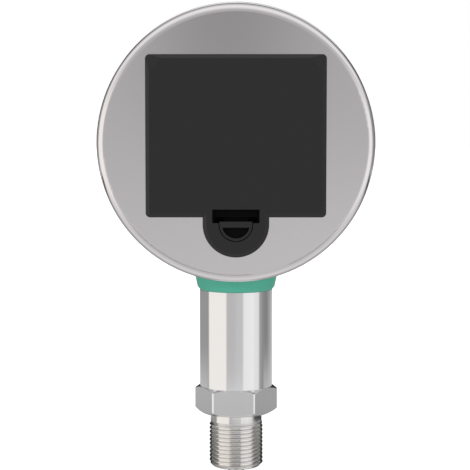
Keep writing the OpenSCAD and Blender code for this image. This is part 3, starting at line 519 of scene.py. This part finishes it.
coil_spots = []
for number in range(CELL_COUNT):
    x = (number - (CELL_COUNT - 1) / 2) * CELL_PITCH
    end, flip = (-1, 0.0) if number % 2 == 0 else (1, math.pi)
    coil_spots.append(((x, CELL_Y, CELL_MID_Z + end * (CAVITY_HALF - PLATE_T)), (flip, 0.0, 0.0)))
coils = by_rule("contact_springs_coiled", coil_spots, coil_rule())
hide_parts("contact_springs")
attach(coils, "head")

# Cells: four AA cells, set head to tail in the tray. Each is a drawn steel can in a plain sleeve
# that folds over its shoulder and its foot, with a nub on the sealed top.

# Plain sleeve: printed film, dark blue and glossy
cell_sleeve = surface("plain printed sleeve", "#33485a", 0.3, uneven=0.03, grain_size=1.0)
# Nickel plated can: bright silver
cell_steel = surface("nickel plated can", "#cfcfd1", 0.25, metallic=1.0, uneven=0.03, grain_size=0.5)
SLEEVE_R, CELL_HALF, NUB_R, FOLD_R = 7.1, 25.25, 2.75, 6.25


def cell(number):
    """Cell of that number: a turned can with its sleeve, shoulder, nub and dished foot."""
    foot, top = -CELL_HALF, CELL_HALF
    profile = [(0.0, foot + 0.25), (4.6, foot + 0.25), (5.0, foot), (6.3, foot), (6.75, foot + 0.25),
               (6.9, foot + 0.2), (SLEEVE_R, foot + 0.6), (SLEEVE_R, top - 1.9), (6.9, top - 1.35),
               (6.3, top - 1.2), (6.2, top - 1.3), (5.6, top - 1.3), (5.3, top - 1.2),
               (NUB_R, top - 1.2), (NUB_R, top - 0.25), (NUB_R - 0.25, top), (0.0, top)]
    flip = 1 if number % 2 else -1
    points, faces = strips(lathe_rows(profile, 64), False)
    x = (number - (CELL_COUNT + 1) / 2) * CELL_PITCH
    points = [(x + px, CELL_Y + py, CELL_MID_Z + flip * pz) for px, py, pz in points]
    made = piece(f"battery_{number}_cell", points, faces, [cell_steel, cell_sleeve], smooth=40)
    for face in made.data.polygons:
        height = flip * (face.center.z / MM - CELL_MID_Z)
        reach = math.hypot(face.center.x / MM - x, face.center.y / MM - CELL_Y)
        face.material_index = 1 if reach > FOLD_R and foot + 0.1 < height < top - 1.22 else 0
    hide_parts(f"battery_{number}")
    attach(made, "head")


for number in (1, 2, 3, 4):
    cell(number)

# Battery cover: black moulding with a bevel all round, a finger slot and the latch's window. Two
# tabs hook its upper edge into the case, and a rubber seal and foam pads lie under it.

# Black ABS, moulded with a fine texture: dull, and a trace warmer than neutral black. The texture
# is about 0.1 mm wide on the real one and drawn at 0.5 mm.
cover_plastic = surface("black textured moulding", "#1c1b1b", 0.42, level=0.4, grain=0.02, grain_size=0.5)
# Closed cell foam: dark grey and dead matt, with open pores
foam = surface("closed cell foam", "#333333", 0.9, level=0.2, grain=0.1, grain_size=1.0)
# Box of the finger slot and the latch's window, where shade is painted into the cover; it fades in over
# SLOT_FADE millimetres below the slot's face.
SLOT_LOW_X, SLOT_HIGH_X, SLOT_LOW_Z, SLOT_HIGH_Z = -8.7, 8.7, 86.4, 98.0
SLOT_FACE_Y, SLOT_FADE = 23.5, 0.8


def paint_slot_shade(material, code, level):
    """Paints shade into the cover inside its finger slot and the latch's window: a darker colour and a weaker
    reflection, fading in below the slot's face.
    """
    tree = material.node_tree
    shader = tree.nodes["Principled BSDF"]
    place = add_node(tree, "ShaderNodeTexCoord").outputs["Object"]
    x, y, z = add_node(tree, "ShaderNodeSeparateXYZ", [place]).outputs
    share = add_node(tree, "ShaderNodeMapRange", {
        "Value": y, "From Min": SLOT_FACE_Y * MM, "From Max": (SLOT_FACE_Y - SLOT_FADE) * MM})
    for along, test, limit in ((x, "GREATER_THAN", SLOT_LOW_X), (x, "LESS_THAN", SLOT_HIGH_X),
                               (z, "GREATER_THAN", SLOT_LOW_Z), (z, "LESS_THAN", SLOT_HIGH_Z)):
        inside = add_node(tree, "ShaderNodeMath", [along, limit * MM], operation=test)
        share = add_node(tree, "ShaderNodeMath", [share, inside], operation="MULTIPLY")
    shade = add_node(tree, "ShaderNodeMix", {
        "Factor": share, "A": shader.inputs["Base Color"].default_value, "B": colour(code)}, data_type="RGBA")
    gloss = add_node(tree, "ShaderNodeMapRange", {
        "Value": share, "To Min": shader.inputs["Specular IOR Level"].default_value, "To Max": level})
    tree.links.new(shade.outputs["Result"], shader.inputs["Base Color"])
    tree.links.new(gloss.outputs[0], shader.inputs["Specular IOR Level"])


# Painted shade: the cover is near black and reflects little inside its finger slot and the latch's window.
paint_slot_shade(cover_plastic, "#0b0b0b", 0.04)
dress("battery_cover", cover_plastic)
dress("cover_seal", black_rubber)
dress("battery_pads", foam)

# Latch: half-round pad that slides in the cover, with its steel hook. Two zigzag leaves of blued
# spring steel stand between it and the slot's upper edge; on the real one they fold together as the pad
# slides up, here they keep one shape.
# The pad is of the cover's moulding, so its scoop in the slot gets the same painted shade.
dress("cover_latch", cover_plastic)
dress("latch_hook", spring_steel)
# Blued spring steel: nearly black, with the dull shine of its heat treatment
blued_steel = surface("blued spring steel", "#131313", 0.45, metallic=1.0, uneven=0.03, grain_size=0.4)
leaf_low, leaf_high = (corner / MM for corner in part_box("latch_spring"))
LEAF_W, LEAF_T, LEAF_FOLDS, LATCH_TRAVEL = 3.0, 0.25, 6, 2.2
leaf_length = leaf_high.z - leaf_low.z
leaf_rise = (leaf_length - LEAF_T) / LEAF_FOLDS
notch_depth = LEAF_T / 2 * (leaf_high.y - leaf_low.y) / leaf_rise


def plate(front, back):
    """Points and faces of a plate between two like outlines."""
    n = len(front)
    faces = [tuple(range(n)), tuple(range(2 * n - 1, n - 1, -1))]
    faces += [(i, n + i, n + (i + 1) % n, (i + 1) % n) for i in range(n)]
    return front + back, faces


# Both edges of a leaf's side view, from its foot up: a fold is a square tip on one and a notch on the other
far_edge, near_edge = [], []
for k in range(LEAF_FOLDS + 1):
    z = leaf_low.z + LEAF_T / 2 + leaf_rise * k
    if k % 2:
        tip_y, notch_y, tip_edge, notch_edge = leaf_high.y, leaf_high.y - notch_depth, far_edge, near_edge
    else:
        tip_y, notch_y, tip_edge, notch_edge = leaf_low.y, leaf_low.y + notch_depth, near_edge, far_edge
    tip_edge += [(tip_y, z - LEAF_T / 2), (tip_y, z + LEAF_T / 2)]
    if 0 < k < LEAF_FOLDS:
        notch_edge.append((notch_y, z))
side_view = far_edge + near_edge[::-1]
both_leaves = []
for left in (leaf_low.x, leaf_high.x - LEAF_W):
    both_leaves.append(plate(*([(x, y, z) for y, z in side_view] for x in (left, left + LEAF_W))))
leaves = piece("latch_spring_folded", *together(*both_leaves), [blued_steel], smooth=30)
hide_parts("latch_spring")
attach(leaves, "cover_latch")
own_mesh(leaves)

# Keys: four moulded silicone caps with a flange behind the panel and a plunger on the switch,
# each with a plain printed sign: on and off, units, zero and light.

# Silicone, moulded: dull blue-grey with a fine bloom
key_rubber = surface("matt silicone", "#565b62", 0.6, grain=0.006, grain_size=0.3)
# Key print: flat white silicone ink
key_print = surface("white key print", "#e4e6e8", 0.5, uneven=0.03, grain_size=0.5)
CAP_R, FLANGE_R, PLUNGER_R, PLUNGER_BEVEL = 4.459, 5.259, 1.69, 0.19
FLANGE_FRONT, FLANGE_BACK = 3.5, 4.3
PRINT_T, CAP_SET_BACK, PRINT_SET_BACK = 0.05, 0.06, 0.02


def arc(r_in, r_out, start, stop, squeeze=1.0):
    """Outline of a ring's arc, in degrees from the top, whose width may be squeezed."""
    angles = [math.radians(start + (stop - start) * k / 24) for k in range(25)]
    outer = [(squeeze * r_out * math.sin(a), r_out * math.cos(a)) for a in angles]
    return outer + [(squeeze * r_in * math.sin(a), r_in * math.cos(a)) for a in reversed(angles)]


def bar(x, z, w, h, turn=0.0):
    """Outline of a bar about its middle, turned in degrees."""
    c, s = math.cos(math.radians(turn)), math.sin(math.radians(turn))
    return [(x + c * a - s * b, z + s * a + c * b) for a, b in
            ((-w / 2, -h / 2), (w / 2, -h / 2), (w / 2, h / 2), (-w / 2, h / 2))]


def flat_print(name, outlines, middle, front, material):
    """Thin printed shapes, drawn as outlines in X and Z, whose face is at front."""
    shapes = []
    for outline in outlines:
        shapes.append(plate(*(
            [(middle.x + x, y, middle.z + z) for x, z in outline] for y in (front, front + PRINT_T))))
    return piece(name, *together(*shapes), [material], smooth=20)


def key(name, signs):
    """A key's cap, turned about its own axis, and its sign."""
    low, high = (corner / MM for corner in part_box(name))
    middle = (low + high) / 2
    face, flange, back = low.y + CAP_SET_BACK, low.y + FLANGE_FRONT, low.y + FLANGE_BACK
    profile = [(0.0, face), (3.5, face), (4.1, face + 0.1), (4.4, face + 0.4), (CAP_R, face + 0.8),
               (CAP_R, flange), (FLANGE_R, flange), (FLANGE_R, back), (PLUNGER_R, back),
               (PLUNGER_R, high.y - 0.2), (PLUNGER_R - PLUNGER_BEVEL, high.y), (0.0, high.y)]
    points, faces = strips(lathe_rows(profile, 64), False)
    points = [(middle.x + x, y, middle.z + z) for x, z, y in points]
    cap = piece(name + "_cap", points, faces, [key_rubber], smooth=50)
    sign = flat_print(name + "_sign", signs, middle, low.y + PRINT_SET_BACK, key_print)
    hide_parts(name)
    for made in (cap, sign):
        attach(made, name)


key("power_key", [arc(1.3, 1.75, 35, 325), bar(0.0, 1.35, 0.45, 1.6)])
key("units_key", [[(-1.2, 0.4), (1.2, 0.4), (0.0, 1.9)], [(-1.2, -0.4), (0.0, -1.9), (1.2, -0.4)]])
key("zero_key", [arc(1.3, 1.8, 0, 180, squeeze=0.72), arc(1.3, 1.8, 180, 360, squeeze=0.72)])
lamp_rays = [bar(1.55 * math.sin(a), 1.55 * math.cos(a), 0.4, 0.8, -math.degrees(a))
             for a in (k * math.pi / 4 for k in range(8))]
key("light_key", [arc(0.0001, 0.8, 0, 360)] + lamp_rays)

# Floor: a plain pale studio floor under the pilot's end. It glows a little to the camera alone, so
# that it shows white round the object's shadow.
FLOOR_Z, FLOOR_HALF = -4.05, 4000
# Matt floor paint: no shine at all
floor_paint = bpy.data.materials.new("pale floor")
floor_paint.use_nodes = True
floor_tree = floor_paint.node_tree
floor_shader = floor_tree.nodes["Principled BSDF"]
floor_shader.inputs["Base Color"].default_value = colour("#e8e8e8")
floor_shader.inputs["Roughness"].default_value = 0.9
floor_shader.inputs["Specular IOR Level"].default_value = 0.0
floor_shader.inputs["Emission Color"].default_value = colour("#ffffff")
floor_seen = add_node(floor_tree, "ShaderNodeLightPath").outputs["Is Camera Ray"]
floor_glow = add_node(floor_tree, "ShaderNodeMath", [floor_seen, 0.6], operation="MULTIPLY")
floor_tree.links.new(floor_glow.outputs[0], floor_shader.inputs["Emission Strength"])
floor_corners = [(FLOOR_HALF * x, FLOOR_HALF * y, FLOOR_Z) for x, y in ((-1, -1), (1, -1), (1, 1), (-1, 1))]
floor = piece("floor", floor_corners, [(0, 1, 2, 3)], [floor_paint])
floor.visible_glossy = False

# Studio tent: a ball of lit cloth round the scene that only shiny parts reflect. White panels hang
# left and right of the camera and overhead, with greyer cloth between and behind them.
tent_cloth = bpy.data.materials.new("studio tent")
tent_cloth.use_nodes = True
tent_tree = tent_cloth.node_tree
tent_tree.nodes.clear()
TENT_R, TENT_STEPS, TENT_AROUND = 3000, 32, 64
tent_place = add_node(tent_tree, "ShaderNodeTexCoord").outputs["Object"]
across, along, up = add_node(tent_tree, "ShaderNodeSeparateXYZ", [tent_place]).outputs


def degrees_of(rise_of, run_of):
    """Angle in degrees of a rise over a run."""
    radians = add_node(tent_tree, "ShaderNodeMath", [rise_of, run_of], operation="ARCTAN2")
    return add_node(tent_tree, "ShaderNodeMath", [radians, 180 / math.pi], operation="MULTIPLY")


def grey_ramp(angle, stops):
    """Colours along an angle from -180 to 180 degrees; each stop is an angle and a grey level or hex code."""
    share = add_node(tent_tree, "ShaderNodeMath", [angle, 360.0], operation="DIVIDE")
    share = add_node(tent_tree, "ShaderNodeMath", [share, 0.5], operation="ADD")
    made = add_node(tent_tree, "ShaderNodeValToRGB", [share])
    ramp = made.color_ramp
    for position, level in stops[1:-1]:
        ramp.elements.new(position / 360 + 0.5)
    for element, (position, level) in zip(ramp.elements, stops):
        element.position = position / 360 + 0.5
        element.color = colour(level if isinstance(level, str) else "#" + f"{level:02x}" * 3)
    return made


def over_cloth(below, above, *fades):
    """Lays a colour over the cloth. Each fade is an angle, and where on it the share is none and whole."""
    share = 1.0
    for angle, none, whole in fades:
        part = add_node(tent_tree, "ShaderNodeMapRange", {
            "Value": angle, "From Min": none, "From Max": whole})
        share = add_node(tent_tree, "ShaderNodeMath", [share, part], operation="MULTIPLY")
    laid = add_node(tent_tree, "ShaderNodeMix", {"Factor": share, "A": below, "B": above}, data_type="RGBA")
    return laid.outputs["Result"]


# Directions from the object, in degrees. side: 0 is the camera's side and positive is the
# photograph's left. over_top: 0 is the camera, 90 straight up, -90 straight down and 180 the far
# side. rise: how far above the level of the tent's middle.
side = degrees_of(across, along)
over_top = degrees_of(up, along)
across_squared = add_node(tent_tree, "ShaderNodeMath", [across, 2.0], operation="POWER")
along_squared = add_node(tent_tree, "ShaderNodeMath", [along, 2.0], operation="POWER")
flat_squared = add_node(tent_tree, "ShaderNodeMath", [across_squared, along_squared], operation="ADD")
flat = add_node(tent_tree, "ShaderNodeMath", [flat_squared], operation="SQRT")
rise = degrees_of(up, flat)
off_side = add_node(tent_tree, "ShaderNodeMath", [side], operation="ABSOLUTE")
off_level = add_node(tent_tree, "ShaderNodeMath", [rise], operation="ABSOLUTE")
walls = grey_ramp(side, [
    (-178, 213), (-150, 194), (-128, 162), (-112, 136), (-95, 148), (-81, 172), (-76, 238), (-62, 243),
    (-55, 252), (-24.5, 246), (-20.5, 206), (-5, 206), (5, 198), (28.5, 196), (32.5, "#fffcf7"),
    (94, "#fffcf7"), (98, 158), (125, 160), (150, 156), (178, 150)])
roof = grey_ramp(over_top, [
    (-165, 150), (-125, 165), (-106, 186), (-90, 208), (-70, 226), (-40, 206), (-22, 196), (12, 160),
    (28, 176), (42, 212), (60, 238), (80, 250), (92, 236), (104, 212), (125, 184), (140, 140), (150, 50)])
cloth_colour = over_cloth(walls, roof, (off_level, 12, 30))
for code, *fades in (
        # Behind the object: light cloth for the hexagon, dark for the thread's edges and the bezel's line
        ("#cccccc", (rise, -8, -10), (off_side, 92, 104), (rise, -12.2, -11.2)),
        ("#4a4a4a", (rise, -11.2, -12.2), (off_side, 84, 94), (rise, -20, -16)),
        ("#2c2c2c", (rise, -6, 1), (rise, 38, 26), (off_side, 122, 138)),
        # Under the camera: white for the hexagon's near flats, grey for the thread's middle
        ("#ffffff", (rise, -9.6, -10.4), (off_side, 34, 24), (rise, -12.2, -11.2)),
        ("#7c7c7c", (rise, -11.2, -12.2), (off_side, 24, 19), (rise, -18, -15)),
        # Above the camera: grey for the case's back, and a darker patch for its top
        ("#b8b8b8", (rise, -3.5, 1), (rise, 32, 20), (off_side, 36, 16)),
        ("#7e7e7e", (rise, 1.8, 3.2), (rise, 14, 7), (side, 4.5, 1.5), (side, -4, 0))):
    cloth_colour = over_cloth(cloth_colour, colour(code), *fades)
cloth = add_node(tent_tree, "ShaderNodeEmission", {"Color": cloth_colour, "Strength": 1.0})
add_node(tent_tree, "ShaderNodeOutputMaterial", [cloth])
tent_cloth.cycles.emission_sampling = "NONE"
tent_profile = []
for k in range(TENT_STEPS + 1):
    polar = math.pi * (k + 0.01) / (TENT_STEPS + 0.02)
    tent_profile.append((TENT_R * math.sin(polar), TENT_R * math.cos(polar)))
tent = piece("studio_tent", *strips(lathe_rows(tent_profile, TENT_AROUND), False), [tent_cloth])
tent.visible_camera = False
tent.visible_diffuse = False
tent.visible_shadow = False

# Lamp and sky: one large soft lamp, high and a little to the camera's left, and an even sky. The
# camera, mirrors and glass see the sky white, and its light on the object is a little lower.
LAMP_PLACE, LAMP_AIM = Vector((0.5, 1.4, 1.7)), Vector((0.0, 0.0, 0.1))
lamp = bpy.data.lights.new("soft lamp", "AREA")
lamp.shape = "DISK"
lamp.size = 1.6
lamp.energy = 26
soft_lamp = bpy.data.objects.new("soft lamp", lamp)
soft_lamp.location = LAMP_PLACE
soft_lamp.rotation_mode = "QUATERNION"
soft_lamp.rotation_quaternion = (LAMP_PLACE - LAMP_AIM).to_track_quat("Z", "Y")
soft_lamp.visible_glossy = False
bpy.context.scene.collection.objects.link(soft_lamp)
world = bpy.data.worlds.new("studio")
bpy.context.scene.world = world
world.use_nodes = True
sky = world.node_tree
sky.nodes.clear()
rays = add_node(sky, "ShaderNodeLightPath").outputs
seen = add_node(sky, "ShaderNodeMath", [rays["Is Camera Ray"], rays["Is Glossy Ray"]], operation="MAXIMUM")
seen = add_node(sky, "ShaderNodeMath", [seen, rays["Is Transmission Ray"]], operation="MAXIMUM")
glow = add_node(sky, "ShaderNodeMapRange", {"Value": seen, "To Min": 0.72, "To Max": 1.0})
air = add_node(sky, "ShaderNodeBackground", {"Color": colour("#ffffff"), "Strength": glow})
add_node(sky, "ShaderNodeOutputWorld", [air])

# Camera: a long lens behind the gauge and a little above its middle, as in the photograph. The
# lower edge of its frame cuts the thread, as there.
AZIMUTH, ELEVATION, DISTANCE = math.radians(180.2), math.radians(4.86), 596.0
CAMERA_AIM = Vector((0.4, 0.0, 86.73))
lens = bpy.data.cameras.new("camera")
lens.sensor_width = 36.0
lens.lens = 122.75
lens.clip_start, lens.clip_end = 0.01, 20.0
camera = bpy.data.objects.new("camera", lens)
back = Vector((math.sin(AZIMUTH) * math.cos(ELEVATION), -math.cos(AZIMUTH) * math.cos(ELEVATION),
               math.sin(ELEVATION)))
camera.location = (CAMERA_AIM + back * DISTANCE) * MM
camera.rotation_mode = "QUATERNION"
camera.rotation_quaternion = (-back).to_track_quat("-Z", "Y")
bpy.context.scene.collection.objects.link(camera)
bpy.context.scene.camera = camera
bpy.context.scene.view_settings.view_transform = "Standard"
